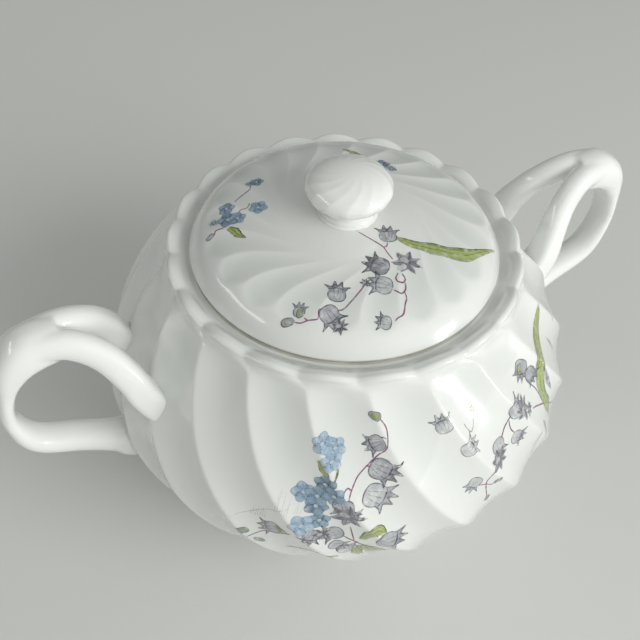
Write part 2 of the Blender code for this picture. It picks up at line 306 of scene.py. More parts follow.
def swirl(z):
    below = np.maximum(0.0, RIM_HEIGHT - z)
    share = below / (RIM_HEIGHT - FOOT_HEIGHT)
    return RIM_TURN * np.minimum(1.0, below / BEAD_DEPTH) + SWIRL * share ** SWIRL_POWER


def wall_radius(angle, z):
    """Radius of the fluted outside of the bowl."""
    place = ((angle - FIRST_RIDGE - swirl(z)) * FLUTES / (2 * math.pi)) % 1.0
    return ridge_radius(z) - flute_depth(z) * scoop(place)


def rim_rings():
    """The rounded, lobed rim, from the fluted wall over the lobes into the mouth."""
    lobe = scoop(PLACES, RIM_CREST) / scoop(0.5, RIM_CREST)
    bulge, rise = LOBE_BULGE * lobe, LOBE_RISE * lobe
    wall_z = RIM_HEIGHT - BEAD_DEPTH
    wall_r = ridge_radius(wall_z) - flute_depth(wall_z) * scoop(PLACES)
    outline = [                 # radius, height and turn, as a share, of the section
        (wall_r, wall_z, 1.0),
        (RIM_RADIUS + 1.55 * MM - 0.35 * bulge, wall_z + 0.70 * MM + 0.35 * rise, 0.75),
        (RIM_RADIUS + 0.90 * MM + 0.05 * bulge, wall_z + 1.30 * MM + 0.70 * rise, 0.4),
        (RIM_RADIUS + 0.62 * MM + 0.35 * bulge, wall_z + 1.75 * MM + 0.85 * rise, 0.15),
        (RIM_RADIUS + 0.38 * MM + 0.50 * bulge, RIM_HEIGHT - 0.30 * MM + 0.95 * rise, 0.0),
        (RIM_RADIUS - 0.35 * MM + 0.45 * bulge, RIM_HEIGHT + 0.20 * MM + rise, 0.0),
        (RIM_RADIUS - 1.20 * MM + 0.25 * bulge, RIM_HEIGHT + 0.10 * MM + 0.90 * rise, 0.0),
        (MOUTH_RADIUS + 0.05 * MM, RIM_HEIGHT - 0.15 * MM + 0.55 * rise, 0.0),
        (MOUTH_RADIUS - 1.00 * MM, RIM_HEIGHT - 0.62 * MM + 0.10 * rise, 0.0),
        (LEDGE_OUTER + 0.45 * MM, RIM_HEIGHT - 0.98 * MM, 0.0),
        (LEDGE_OUTER + 0.08 * MM, LEDGE_HEIGHT + 0.14 * MM, 0.0),
    ]
    rows = catmull([np.concatenate([0 * lobe + r, 0 * lobe + z, [t]]) for r, z, t in outline], 6)
    turn = swirl(wall_z)
    return [ring(row[:COLUMNS], row[COLUMNS:2 * COLUMNS], turn * row[-1]) for row in rows]


def painted_shade_depth(points):
    """How much painted shade darkens the points of one ring: only in the flutes outside."""
    share = np.clip(flute_depth(points[:, 2]) / FLUTE_DEPTH, 0.0, 1.0)
    inmost = ridge_radius(points[:, 2]) - FLUTE_DEPTH - 0.5 * MM
    outside = np.hypot(points[:, 0], points[:, 1]) > inmost
    return PAINTED_SHADE_SHARE * share * scoop(PLACES, RIM_CREST) * outside


def bowl_mesh():
    foot_inner = FOOT_RADIUS - FOOT_WIDTH
    bottom = swirl(FOOT_HEIGHT)
    foot = catmull([
        (0.3 * foot_inner, FOOT_RECESS), (0.8 * foot_inner, FOOT_RECESS),
        (foot_inner - 0.5 * MM, FOOT_RECESS - 0.5 * MM), (foot_inner + 0.4 * MM, 0.7 * MM),
        (foot_inner + 1.4 * MM, 0.2 * MM), (FOOT_RADIUS - 1.2 * MM, 0.2 * MM),
        (FOOT_RADIUS - 0.1 * MM, 0.9 * MM), (FOOT_RADIUS - 0.4 * MM, 2.4 * MM),
        (FOOT_RADIUS - 0.3 * MM, FOOT_HEIGHT - 0.6 * MM),
    ], 4)
    rings = [ring(r, z, bottom) for r, z in foot]
    for z in np.linspace(FOOT_HEIGHT, RIM_HEIGHT - BEAD_DEPTH, 110)[:-1]:
        radius = ridge_radius(z) - flute_depth(z) * scoop(PLACES)
        rings.append(ring(radius, z, swirl(z)))
    rings += rim_rings()
    under = LEDGE_HEIGHT - LEDGE_THICKNESS
    ledge = catmull([
        (LEDGE_OUTER - 0.2 * MM, LEDGE_HEIGHT + 0.03 * MM), (LEDGE_OUTER - 0.7 * MM, LEDGE_HEIGHT),
        (LEDGE_INNER + 0.6 * MM, LEDGE_HEIGHT), (LEDGE_INNER, LEDGE_HEIGHT - 0.5 * MM),
        (LEDGE_INNER, under + 0.6 * MM), (LEDGE_INNER + 0.9 * MM, under - 0.3 * MM),
    ], 3)
    rings += [ring(r, z, 0.0) for r, z in ledge]
    floor = FOOT_HEIGHT + FLOOR
    for z in np.linspace(under - 1.2 * MM, floor + 1.0 * MM, 40):
        rings.append(ring(ridge_radius(z) - FLUTE_DEPTH - WALL, z, 0.0))
    floor_radius = ridge_radius(floor) - FLUTE_DEPTH - WALL
    for share, lift in ((0.96, 0.25), (0.88, 0.05), (0.7, 0.0), (0.4, 0.0), (0.12, 0.0)):
        rings.append(ring(share * floor_radius, floor + lift * MM, 0.0))
    # Painted shade: the bowl's flute hollows are marked to be darkened.
    return tag_painted_shade(ring_mesh("bowl", rings), [painted_shade_depth(r) for r in rings])


# ---------------------------------------------------------------- lid and knob

def dome_height(r):
    seat = KNOB_BASE_RADIUS + SEAT_GAP
    reach = np.maximum(r, seat) / LID_RADIUS
    fall = DOME_SHARE * reach ** 2 + (1.0 - DOME_SHARE) * reach ** SHOULDER_POWER
    return LID_TOP + DOME_RISE * (1.0 - fall)


def lid_flute(r, place):
    """How far the lid's top lies below its ridges, at radius r and a place in the flute."""
    share = np.clip((r - LID_FLUTE_INNER) / (LID_FLUTE_OUTER - LID_FLUTE_INNER), 0.0, 1.0)
    petal_end = LID_FLUTE_OUTER - PETAL_DIP * (1.0 - scoop(place, LID_CREST))
    fade = np.clip((petal_end - r) / PETAL_FADE, 0.0, 1.0)
    fade = fade * fade * (3.0 - 2.0 * fade)
    return LID_FLUTE_DEPTH * share ** LID_FLUTE_POWER * fade * scoop(place, LID_CREST)


def lid_swirl(r):
    inward = np.clip((LID_FLUTE_OUTER - r) / (LID_FLUTE_OUTER - LID_FLUTE_INNER), 0.0, 1.0)
    return LID_FIRST_RIDGE - FIRST_RIDGE + LID_SWIRL * inward ** 3


def lid_top(angle, r):
    """Height of the lid's fluted top."""
    place = ((angle - FIRST_RIDGE - lid_swirl(r)) * FLUTES / (2 * math.pi)) % 1.0
    return dome_height(r) - lid_flute(r, place)


def lid_mesh():
    rings = []
    radii = np.concatenate([np.linspace(1.0, 8.0, 5), np.linspace(9.0, 33.0, 60),
                            np.linspace(33.3, 37.6, 24)])
    for r in radii * MM:
        rings.append(ring(r, dome_height(r) - lid_flute(r, PLACES), lid_swirl(r)))
    bottom = LID_TOP - LID_EDGE
    inner = FLANGE_RADIUS - FLANGE_WALL
    outline = catmull([
        (LID_RADIUS - 0.2 * MM, dome_height(LID_RADIUS - 0.2 * MM)),
        (LID_RADIUS - 0.03 * MM, LID_TOP), (LID_RADIUS - 0.22 * MM, LID_TOP - 0.6 * MM),
        (LID_RADIUS - 0.85 * MM, bottom + 0.3 * MM), (LID_RADIUS - 1.4 * MM, bottom),
        (FLANGE_RADIUS + 0.5 * MM, bottom), (FLANGE_RADIUS, bottom - 0.5 * MM),
        (FLANGE_RADIUS, bottom - FLANGE_DEPTH + 0.8 * MM),
        (FLANGE_RADIUS - 0.5 * FLANGE_WALL, bottom - FLANGE_DEPTH),
        (inner, bottom - FLANGE_DEPTH + 0.8 * MM), (inner - 0.1 * MM, bottom),
        (inner - 0.1 * MM, bottom + 2.5 * MM),
    ], 4)
    rings += [ring(r, z, lid_swirl(LID_RADIUS)) for r, z in outline]
    for r in np.linspace(inner - 1.0 * MM, 1.0 * MM, 24):
        rings.append(ring(r, dome_height(r) - LID_SHELL, lid_swirl(LID_RADIUS)))
    # Painted shade: the deeper a point lies in a lid flute, the darker its white.
    painted_shade = [lid_flute(np.hypot(r[:, 0], r[:, 1]), PLACES) / LID_FLUTE_DEPTH for r in rings]
    return tag_painted_shade(ring_mesh("lid", rings[::-1]), painted_shade[::-1])


def knob_mesh():
    """Base ring and waist by an outline, then the button by two part ellipses."""
    height = KNOB_TOP - KNOB_BASE
    place = np.tile(column_places(KNOB_COLUMNS_PER_FLUTE), KNOB_FLUTES)
    flute = np.repeat(np.arange(KNOB_FLUTES), KNOB_COLUMNS_PER_FLUTE)
    turns = 2 * math.pi * (flute + place) / KNOB_FLUTES
    outline = [(0.8 * KNOB_BASE_RADIUS, 0.0, 0), (KNOB_BASE_RADIUS + 0.5 * MM, 0.0, 0),
               (KNOB_BASE_RADIUS, 0.5 * MM, 0), (KNOB_BASE_RADIUS - 0.1 * MM, 1.2 * MM, 0),
               (KNOB_BASE_RADIUS - 1.1 * MM, 1.8 * MM, 0), (KNOB_BASE_RADIUS - 0.9 * MM, 2.6 * MM, 0)]
    rows = [np.array(row) for row in catmull(outline, 4)]
    undercut, crown = KNOB_WIDEST - 1.9 * MM, height - KNOB_WIDEST
    for degrees in np.linspace(-52.0, 88.0, KNOB_ROWS):
        a = math.radians(degrees)
        depth = crown if a > 0.0 else undercut
        fluting = KNOB_FLUTE_DEPTH * max(0.0, math.sin(2.0 * min(abs(a) * 0.8 + 0.35, 1.55)))
        rows.append(np.array([KNOB_RADIUS * math.cos(a), KNOB_WIDEST + depth * math.sin(a), fluting]))
    rings = []
    for r, z, fluting in rows:
        radius = r - fluting * scoop(place, KNOB_CREST) * min(1.0, r / (0.4 * KNOB_RADIUS))
        angle = turns + KNOB_SWIRL * r / KNOB_RADIUS
        rings.append(np.stack([radius * np.cos(angle), radius * np.sin(angle),
                               np.full(angle.shape, KNOB_BASE + z)], axis=1))
    return ring_mesh("knob", rings)


# ---------------------------------------------------------------- handles

TINE_DROP = 19.5 * MM
TINE_SPREAD = math.radians(12.3)
ARCH_RISE = 20.0 * MM
KNUCKLE_REACH = 16.0 * MM
LOOP_REACH = 25.0 * MM
LOOP_DROP = 21.0 * MM
TAIL_DROP = 42.8 * MM
TAIL_SLOPE = 0.45
ROOT = 4.0 * MM
ROOT_SHARE = 0.86               # of the tines' spread, at the roots inside the wall
SECTION_SIDES = 36
VOXEL = 0.42 * MM               # grain of the mesh that fuses the strands
SOFTENING = 14                  # steps of smoothing after it
SINK = 1.6 * MM                 # how far a handle reaches into the wall


def superoval(angle, power):
    c, s = math.cos(angle), math.sin(angle)
    return (math.copysign(abs(c) ** (2.0 / power), c), math.copysign(abs(s) ** (2.0 / power), s))


def strand(stations, per_span):
    """Rings of a strand; a station is its centre, width, thickness and squareness."""
    rows = catmull([np.array([*s[0], *s[1:]]) for s in stations], per_span)
    rings = []
    across = Vector((0.0, 1.0, 0.0))
    for i, row in enumerate(rows):
        ahead = Vector(rows[min(i + 1, len(rows) - 1)][:3] - rows[max(i - 1, 0)][:3]).normalized()
        side = (across - ahead * across.dot(ahead)).normalized()
        up = ahead.cross(side)
        points = []
        for k in range(SECTION_SIDES):
            c, s = superoval(2.0 * math.pi * k / SECTION_SIDES, row[5])
            points.append(Vector(row[:3]) + side * (0.5 * row[3] * c) + up * (0.5 * row[4] * s))
        rings.append(np.array(points))
    return rings


def tine_stations(side):
    foot_z = RIM_HEIGHT - TINE_DROP
    foot_r = float(ridge_radius(foot_z))
    foot_x = foot_r * math.cos(TINE_SPREAD)
    foot_y = side * foot_r * math.sin(TINE_SPREAD)
    span = BELLY_RADIUS + KNUCKLE_REACH - foot_x
    # along the span, shares of the spread and the rise, width, thickness, squareness
    shape = [
        (-0.06, 0.86, -0.14, 8.2, 7.6, 4.5),
        (0.08, 0.83, 0.13, 7.6, 7.2, 4.0),
        (0.19, 0.71, 0.42, 6.9, 7.0, 3.0),
        (0.38, 0.49, 0.74, 6.4, 7.0, 2.4),
        (0.66, 0.28, 0.95, 6.4, 7.2, 2.3),
        (1.00, 0.15, 0.98, 6.4, 7.2, 2.2),
    ]
    root = (foot_x - 1.2 * ROOT, ROOT_SHARE * foot_y, foot_z - 1.1 * ROOT)
    stations = [(root, 8.6 * MM, 8.0 * MM, 4.5)]
    for along, apart, up, width, thickness, power in shape:
        centre = (foot_x + along * span, apart * foot_y, foot_z + up * ARCH_RISE)
        stations.append((centre, width * MM, thickness * MM, power))
    return stations


def loop_stations():
    arch_z = RIM_HEIGHT - TINE_DROP + ARCH_RISE
    knuckle = BELLY_RADIUS + KNUCKLE_REACH
    outermost = BELLY_RADIUS + LOOP_REACH
    turn = outermost - knuckle
    loop_z = RIM_HEIGHT - LOOP_DROP
    tail_z = RIM_HEIGHT - TAIL_DROP
    tail_r = float(ridge_radius(tail_z))
    corner = outermost - 0.45 * turn
    middle = 0.5 * (tail_r + corner)
    crown = arch_z - 1.9 * MM
    rows = [
        (knuckle - 0.75 * turn, crown + 0.4 * MM, 9.8, 9.8, 2.3),
        (knuckle + 0.02 * turn, crown, 10.6, 10.8, 2.5),
        (outermost - 0.44 * turn, 0.74 * arch_z + 0.26 * loop_z, 10.2, 8.6, 2.6),
        (outermost - 0.10 * turn, 0.40 * arch_z + 0.60 * loop_z, 8.9, 4.9, 2.3),
        (outermost, loop_z - 1.0 * MM, 8.3, 4.3, 2.2),
        (corner, tail_z + 1.1 * TAIL_SLOPE * (corner - tail_r), 8.4, 6.2, 2.2),
        (middle, tail_z + TAIL_SLOPE * (middle - tail_r), 8.4, 6.8, 2.3),
        (tail_r + 3.0 * MM, tail_z + 0.4 * MM, 8.6, 7.8, 2.5),
        (tail_r - 0.5 * MM, tail_z - 1.6 * MM, 9.6, 11.0, 2.7),
        (tail_r - ROOT, tail_z - 2.6 * MM, 10.0, 12.6, 2.7),
    ]
    return [((x, 0.0, z), width * MM, thickness * MM, power) for x, z, width, thickness, power in rows]


def handle_mesh(name, turn):
    """One wishbone, fused from its strands and smoothed as a slip casting is."""
    bm = bmesh.new()
    for stations in (loop_stations(), tine_stations(1.0), tine_stations(-1.0)):
        bm.from_mesh(ring_mesh("strand", strand(stations, 10)))
    bmesh.ops.recalc_face_normals(bm, faces=bm.faces)
    mesh = bpy.data.meshes.new(name)
    bm.to_mesh(mesh)
    bm.free()
    piece = bpy.data.objects.new("casting", mesh)
    bpy.context.scene.collection.objects.link(piece)
    fuse = piece.modifiers.new("fuse", "REMESH")
    fuse.mode = "VOXEL"
    fuse.voxel_size = VOXEL
    soften = piece.modifiers.new("soften", "SMOOTH")
    soften.factor = 0.5
    soften.iterations = SOFTENING
    bpy.context.view_layer.update()
    fused = bpy.data.meshes.new_from_object(piece.evaluated_get(bpy.context.evaluated_depsgraph_get()))
    bpy.data.objects.remove(piece, do_unlink=True)
    points = np.array([v.co for v in fused.vertices])
    radius = np.hypot(points[:, 0], points[:, 1])
    angle = np.arctan2(points[:, 1], points[:, 0])
    inside = wall_radius(angle + turn, points[:, 2]) - SINK
    grow = np.maximum(inside, radius) / radius
    points[:, :2] *= grow[:, None]
    c, s = math.cos(turn), math.sin(turn)
    points[:, :2] = points[:, :2] @ np.array([[c, s], [-s, c]])
    fused.vertices.foreach_set("co", points.astype(np.float32).ravel())
    fused.name = name
    fused.shade_smooth()
    return fused


# ---------------------------------------------------------------- painted sprays

CHART_RADIUS = 56.0 * MM        # a turn of the bowl is drawn at this radius in the flat chart
PROFILE_Z = np.linspace(FOOT_HEIGHT, RIM_HEIGHT, 400)
PROFILE_STEPS = np.hypot(np.diff(PROFILE_Z), np.diff(ridge_radius(PROFILE_Z)))
PROFILE_S = np.concatenate([[0.0], np.cumsum(PROFILE_STEPS)])
LID_CHART_TURN = math.radians(-28.8)
FILM = 0.03                     # mm, the lowest paint above the glaze
FILM_STEP = 0.012               # mm, from one level of paint to the next
WASH_SCALE = 900.0              # of the unevenness within a stroke


def bowl_chart(flat):
    """Points of the bowl's wall for flat points in mm: around it, and up along it."""
    angle = flat[:, 0] * MM / CHART_RADIUS
    z = np.interp(flat[:, 1] * MM, PROFILE_S, PROFILE_Z)
    r = wall_radius(angle, z)
    return np.stack([r * np.cos(angle), r * np.sin(angle), z], axis=1)


def lid_chart(flat):
    c, s = math.cos(LID_CHART_TURN), math.sin(LID_CHART_TURN)
    x = (flat[:, 0] * c - flat[:, 1] * s) * MM
    y = (flat[:, 0] * s + flat[:, 1] * c) * MM
    return np.stack([x, y, lid_top(np.arctan2(y, x), np.hypot(x, y))], axis=1)


def on_bowl(*places):
    """Flat points for places given by their angle in degrees and their height in mm."""
    return [(math.radians(a) * CHART_RADIUS / MM, float(np.interp(z * MM, PROFILE_Z, PROFILE_S)) / MM)
            for a, z in places]


class Paint:
    """Strokes of one colour on one chart, gathered into a single mesh."""

    def __init__(self, chart):
        self.chart = chart
        self.points, self.faces, self.tone, self.ink = [], [], [], []
        self.count = 0

    def stroke(self, flat, faces, tone, ink, level):
        flat = np.asarray(flat, float)
        step = 0.05
        here = self.chart(flat)
        across = self.chart(flat + (step, 0.0)) - here
        up = self.chart(flat + (0.0, step)) - here
        normal = np.cross(across, up)
        normal /= np.linalg.norm(normal, axis=1)[:, None]
        self.points.append(here + normal * (FILM + FILM_STEP * level) * MM)
        self.faces += [tuple(self.count + i for i in face) for face in faces]
        self.tone.append(np.broadcast_to(tone, len(flat)))
        self.ink.append(np.broadcast_to(ink, len(flat)))
        self.count += len(flat)

    def mesh(self, name):
        mesh = bpy.data.meshes.new(name)
        mesh.from_pydata(np.concatenate(self.points).tolist(), [], self.faces)
        for label, rows in (("tone", self.tone), ("ink", self.ink)):
            layer = mesh.attributes.new(label, "FLOAT", "POINT")
            layer.data.foreach_set("value", np.concatenate(rows).astype(np.float32))
        mesh.shade_smooth()
        return mesh


BLOB_RINGS = np.array([0.25, 0.5, 0.7, 0.84, 0.93, 1.0])
BLOB_SIDES = 30


def blob(paint, centre, size, spin, outline, tone, level, strength=1.0, edge=0.0):
    """A filled shape; outline gives its reach by direction, tone its shade from middle to edge."""
    turns = 2 * math.pi * np.arange(BLOB_SIDES) / BLOB_SIDES
    reach = outline(turns)
    c, s = math.cos(math.radians(spin)), math.sin(math.radians(spin))
    flat, tones, ink = [(0.0, 0.0)], [tone(0.0, 0.0)], [strength]
    for share in BLOB_RINGS:
        for t, r in zip(turns, reach):
            flat.append((share * r * math.cos(t), share * r * math.sin(t)))
            tones.append(tone(share, t))
            ink.append(strength * (1.0 if share < 0.93 else 0.75 if share < 1.0 else edge))
    flat = np.array(flat) * size
    flat = flat @ np.array([[c, s], [-s, c]]) + centre
    faces = [(0, 1 + j, 1 + (j + 1) % BLOB_SIDES) for j in range(BLOB_SIDES)]
    for i in range(len(BLOB_RINGS) - 1):
        low, high = 1 + i * BLOB_SIDES, 1 + (i + 1) * BLOB_SIDES
        for j in range(BLOB_SIDES):
            k = (j + 1) % BLOB_SIDES
            faces.append((low + j, high + j, high + k, low + k))
    paint.stroke(flat, faces, np.array(tones), np.array(ink), level)


LANES = np.array([-1.0, -0.6, 0.0, 0.6, 1.0])           # across a line
LANE_INK = np.array([0.0, 1.0, 1.0, 1.0, 0.0])
TAPER = 0.08                    # share of a line over which each end fades


def ribbon(paint, path, widths, tone, level, strength=1.0, ends=0.5, per_span=6):
    """A line of varying width; tone is a number, or five numbers from its left to its right."""
    rows = np.array(catmull(path, per_span))
    along = np.linspace(0.0, 1.0, len(rows))
    width = np.interp(along, np.linspace(0.0, 1.0, len(widths)), widths)
    ahead = np.gradient(rows, axis=0)
    ahead /= np.linalg.norm(ahead, axis=1)[:, None] + 1e-9
    side = np.stack([-ahead[:, 1], ahead[:, 0]], axis=1)
    offsets = side[:, None, :] * LANES[None, :, None] * (0.5 * width[:, None, None])
    flat = (rows[:, None, :] - offsets).reshape(-1, 2)
    fade = np.clip(np.minimum(along, 1.0 - along) / TAPER, 0.0, 1.0) * (1.0 - ends) + ends
    ink = (strength * fade[:, None] * LANE_INK[None, :]).ravel()
    tones = np.tile(np.broadcast_to(tone, 5), len(rows))
    faces = []
    for i in range(len(rows) - 1):
        for j in range(4):
            a = 5 * i + j
            faces.append((a, a + 1, a + 6, a + 5))
    paint.stroke(flat, faces, tones, ink, level)


def turned(points, centre, size, spin):
    """Small points of a motif, scaled, turned by spin degrees and put at centre."""
    c, s = math.cos(math.radians(spin)), math.sin(math.radians(spin))
    return np.asarray(points, float) * size @ np.array([[c, s], [-s, c]]) + centre


def polar_outline(corners):
    """Reach by direction of a shape with the given corners, seen from its middle."""
    corners = np.array(corners)
    directions = np.arctan2(corners[:, 1], corners[:, 0])
    reaches = np.hypot(corners[:, 0], corners[:, 1])
    order = np.argsort(directions)
    return lambda turns: np.interp((turns + math.pi) % (2 * math.pi) - math.pi, directions[order],
                                   reaches[order], period=2 * math.pi)


def round_outline(turns):
    return np.ones(len(turns))


def forget_me_not(blue, centre, size, spin, level, shade=0.0, strength=0.95):
    """Five round petals about a pale eye, with dark stipple."""
    petal = 0.27 * size
    for k in range(5):
        turn = spin + 72.0 * k
        a = math.radians(turn)
        middle = np.array(centre) + petal * np.array([math.cos(a), math.sin(a)])

        def tone(share, t, k=k):
            return 0.36 + shade + 0.07 * (k % 2) + 0.22 * share ** 4 - 0.10 * math.cos(t) * share

        blob(blue, middle, petal, turn, lambda t: 1.0 + 0.06 * np.cos(3 * t), tone,
             level + 0.15 * k, strength)
    blob(blue, centre, 0.10 * size, spin, round_outline, lambda share, t: 0.05, level + 0.9, 0.8)
    for k in range(10):
        a = math.radians(spin + 36.0 * k + 11.0 * math.sin(5.1 * k))
        far = size * (0.13 + 0.10 * (k % 3))
        dot = np.array(centre) + far * np.array([math.cos(a), math.sin(a)])
        ribbon(blue, [dot - (0.0, 0.10), dot + (0.04, 0.10)], [0.22, 0.26], 1.0, level + 1.0, 0.9)
    for k in range(5):
        a = math.radians(spin + 36.0 + 72.0 * k)
        tip = np.array([math.cos(a), math.sin(a)])
        vein = [centre + 0.18 * size * tip, centre + 0.42 * size * tip]
        ribbon(blue, vein, [0.10, 0.16], 0.8, level + 1.0, 0.6)


BELL_CORNERS = [(0.0, 0.62), (0.34, 0.60), (0.56, 0.40), (0.60, 0.08), (0.52, -0.22), (0.86, -0.62),
                (0.34, -0.46), (0.20, -0.90), (0.02, -0.48), (-0.28, -0.86), (-0.36, -0.44),
                (-0.84, -0.50), (-0.52, -0.18), (-0.60, 0.10), (-0.54, 0.42), (-0.32, 0.60)]


def bell(grey, centre, size, spin, level, pale=0.0, strength=0.9):
    """A nodding bell: a round crown above, pointed lobes below, with pen lines."""
    # pale makes a bell's paint lighter: partly lighter print, and partly a painted reflection, where window
    # glare washed a bell out.
    def tone(share, t):
        skirt = max(0.0, -math.sin(t)) * share
        shine = math.exp(-((t - 2.2) / 0.5) ** 2)
        return 0.34 - pale + 0.30 * skirt + 0.16 * share ** 3 - 0.20 * shine * share

    outline = polar_outline(BELL_CORNERS)
    blob(grey, centre, size, spin, outline, tone, level, strength * (1.0 - 0.6 * pale), 0.05)
    line = 0.13 + 0.02 * size
    dark = strength * (1.0 - 0.5 * pale)
    outlines = [
        [(-0.52, -0.18), (-0.58, 0.15), (-0.44, 0.48), (0.0, 0.62), (0.44, 0.50), (0.60, 0.14),
         (0.52, -0.20)],
        [(0.52, -0.20), (0.66, -0.46), (0.86, -0.62), (0.56, -0.52), (0.34, -0.44)],
        [(-0.52, -0.18), (-0.64, -0.36), (-0.84, -0.50), (-0.58, -0.46), (-0.36, -0.42)],
        [(0.34, -0.44), (0.28, -0.70), (0.20, -0.90), (0.10, -0.68), (0.02, -0.46)],
        [(0.02, -0.46), (-0.14, -0.68), (-0.28, -0.86), (-0.32, -0.64), (-0.36, -0.42)],
    ]
    for path in outlines:
        pen = turned(path, centre, size, spin)
        ribbon(grey, pen, [line, 1.5 * line, line], 0.86, level + 0.5, 0.85 * dark)
    for x in (-0.30, -0.06, 0.20):
        rib = turned([(0.5 * x, 0.46), (x, 0.05), (1.25 * x, -0.30)], centre, size, spin)
        ribbon(grey, rib, [0.5 * line, line, 1.4 * line], 0.66, level + 0.4, 0.6 * dark)
    lip = [(-0.50, -0.24), (-0.16, -0.36), (0.22, -0.34), (0.50, -0.26)]
    ribbon(grey, turned(lip, centre, size, spin), [line, 2.2 * line, line], 0.92, level + 0.6, 0.75 * dark)
    ribbon(grey, turned([(-0.26, 0.38), (-0.34, 0.12), (-0.30, -0.08)], centre, size, spin),
           [0.5 * line, 2.2 * line, line], 0.03, level + 0.7, 0.8 * strength)


def star_bell(grey, centre, size, spin, level):
    """A bell seen from below, as a dark ragged star."""
    corners = [(0.95, 0.1), (0.40, 0.22), (0.62, 0.66), (0.15, 0.42), (-0.10, 0.90), (-0.26, 0.36),
               (-0.80, 0.46), (-0.42, -0.05), (-0.86, -0.42), (-0.22, -0.36), (-0.05, -0.84),
               (0.18, -0.36), (0.74, -0.50), (0.42, -0.10)]
    blob(grey, centre, size, spin, polar_outline(corners),
         lambda share, t: 0.58 + 0.22 * math.sin(5.0 * t) * share, level, 0.92)
    for k in range(0, len(corners), 2):
        tip = np.array(corners[k])
        path = turned([0.12 * tip, 0.55 * tip + (0.03, -0.02), 0.98 * tip], centre, size, spin)
        ribbon(grey, path, [0.26, 0.20, 0.10], 0.96, level + 0.4, 0.85)
    eye = turned([(-0.18, 0.1)], centre, size, spin)[0]
    blob(grey, eye, 0.22 * size, spin, lambda t: 1.0 + 0.2 * np.cos(2 * t), lambda share, t: 0.1,
         level + 0.6, 0.7)


def bud(grey, green, centre, size, spin, level, greenish=0.5):
    """A small oval bud with a dark rim, washed with green."""
    def oval(turns):
        return 0.42 + 0.12 * np.cos(2 * turns)

    blob(grey, centre, size, spin, oval, lambda share, t: 0.30 + 0.42 * share ** 4, level, 0.85)
    if greenish:
        blob(green, centre, 0.72 * size, spin, oval, lambda share, t: 0.30, level + 0.3, 0.6 * greenish)
    rim = [(0.5 * math.cos(t), 0.30 * math.sin(t)) for t in np.linspace(0.5, 5.6, 9)]
    ribbon(grey, turned(rim, centre, size, spin), [0.10, 0.20, 0.12], 0.88, level + 0.5, 0.8)
    crease = turned([(-0.18, 0.12), (-0.24, -0.04), (-0.12, -0.15)], centre, size, spin)
    ribbon(grey, crease, [0.1, 0.16], 0.8, level + 0.6, 0.7)


def leaf(green, path, widths, level, strength=0.95):
    """A blade with one dark edge, a dark vein and a pale streak beside it."""
    rows = np.array(catmull(path, 6))
    along = np.linspace(0.0, 1.0, len(rows))
    width = np.interp(along, np.linspace(0.0, 1.0, len(widths)), widths)
    width *= 1.0 + 0.13 * np.sin(9.0 * along + 2.0) + 0.07 * np.sin(23.0 * along)
    ahead = np.gradient(rows, axis=0)
    ahead /= np.linalg.norm(ahead, axis=1)[:, None]
    side = np.stack([-ahead[:, 1], ahead[:, 0]], axis=1)

    def lane(share):
        return rows + side * (0.5 * share * width)[:, None]

    ribbon(green, rows, width, np.array([0.62, 0.50, 0.30, 0.36, 0.60]), level, strength, 0.3, per_span=1)
    ribbon(green, lane(0.86), [0.12, 0.24, 0.26, 0.14], 0.95, level + 0.5, 0.8, per_span=1)
    ribbon(green, lane(-0.9), [0.08, 0.14, 0.12], 0.85, level + 0.5, 0.6, per_span=1)
    ribbon(green, lane(-0.05)[2:-2], [0.10, 0.22, 0.20, 0.10], 0.86, level + 0.6, 0.7, per_span=1)
    ribbon(green, lane(0.34)[3:-4], [0.12, 0.34, 0.20], 0.02, level + 0.7, 0.65, per_span=1)


def stem(brown, path, level, width=0.30, tone=0.75, strength=0.95):
    ribbon(brown, path, [width, 1.3 * width, 1.1 * width], tone, level, strength)


def grass(brown, base, heights, lean, level, strength=0.35):
    """A row of faint blades side by side."""
    for k, tall in enumerate(heights):
        x = base[0] + 0.55 * k
        foot = np.array([x, base[1] + 0.12 * math.sin(2.3 * k)])
        path = [foot, foot + (0.4 * lean, 0.5 * tall), foot + (lean + 0.2 * math.sin(3.7 * k), tall)]
        ribbon(brown, path, [0.20, 0.16, 0.08], 0.25, level, strength)


# The two layouts that follow were carried over point by point from a printed original, with
# another program's help. They aren't a design of this script, and should be replaced by one.

